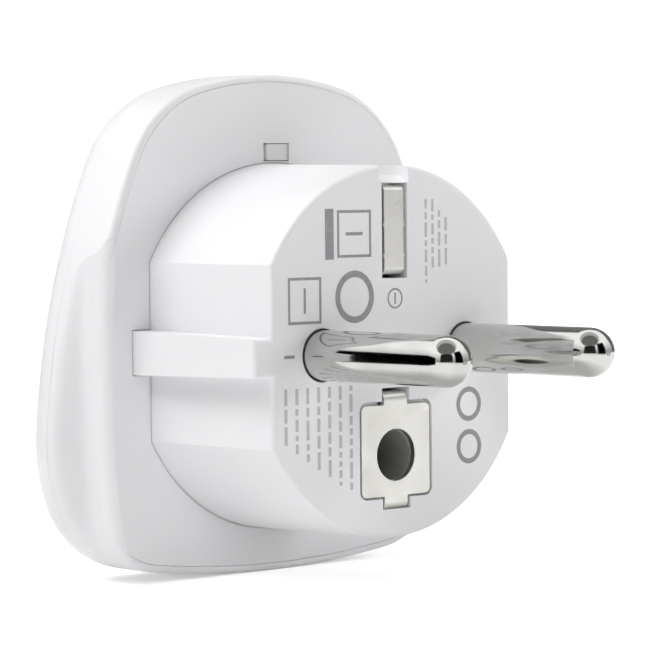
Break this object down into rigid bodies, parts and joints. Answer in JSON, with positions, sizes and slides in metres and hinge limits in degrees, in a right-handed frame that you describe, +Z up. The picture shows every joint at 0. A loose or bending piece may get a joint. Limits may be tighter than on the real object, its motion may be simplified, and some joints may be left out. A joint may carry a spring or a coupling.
{
  "type": "plug-in travel adapter",
  "caption": "Plug-in travel adapter: universal socket in a rounded housing on a round-pin earthed plug, with a sprung safety shutter.",
  "frame": {"origin": "on the plug nose's front face, midway between the two pins", "axes": "+Y from the plug face towards the socket face (the pins point along -Y), +Z up, +X to the right when facing the plug face along +Y"},
  "size_m": [0.0492, 0.047, 0.0498],
  "materials": {
    "housing": "fine satin moulded polycarbonate",
    "inner_plastic": "plain moulded nylon",
    "shutter": "smooth acetal",
    "pin_nickel": "polished nickel plate on brass",
    "strip_nickel": "satin nickel plate on brass strip",
    "brass": "bare stamped brass",
    "sleeve_steel": "dull oxidised spring steel",
    "spring_steel": "bright spring wire",
    "screw_steel": "zinc-plated steel"
  },
  "bodies": {
    "adapter": {"plug_body": "housing", "outer_shell": "housing", "front_cover": "housing", "live_pin": "pin_nickel", "neutral_pin": "pin_nickel", "live_contact": "brass", "neutral_contact": "brass", "upper_earth_strip": "strip_nickel", "lower_earth_plate": "strip_nickel", "earth_pin_sleeve": "sleeve_steel", "earth_bridge": "brass", "earth_contact": "brass", "earth_rivet": "brass", "contact_carrier": "inner_plastic", "shutter_guide": "inner_plastic", "guide_screws": "screw_steel", "shutter_spring": "spring_steel"},
    "shutter": {"shutter": "shutter"}
  },
  "joints": [
    {"name": "shutter_slide", "type": "slide", "parent": "adapter", "child": "shutter", "axis": [0, 0, -1], "range_m": [0, 0.0075], "stiffness_N_per_m": 150, "springref_m": -0.003, "deforming": ["shutter_spring"]}
  ]
}
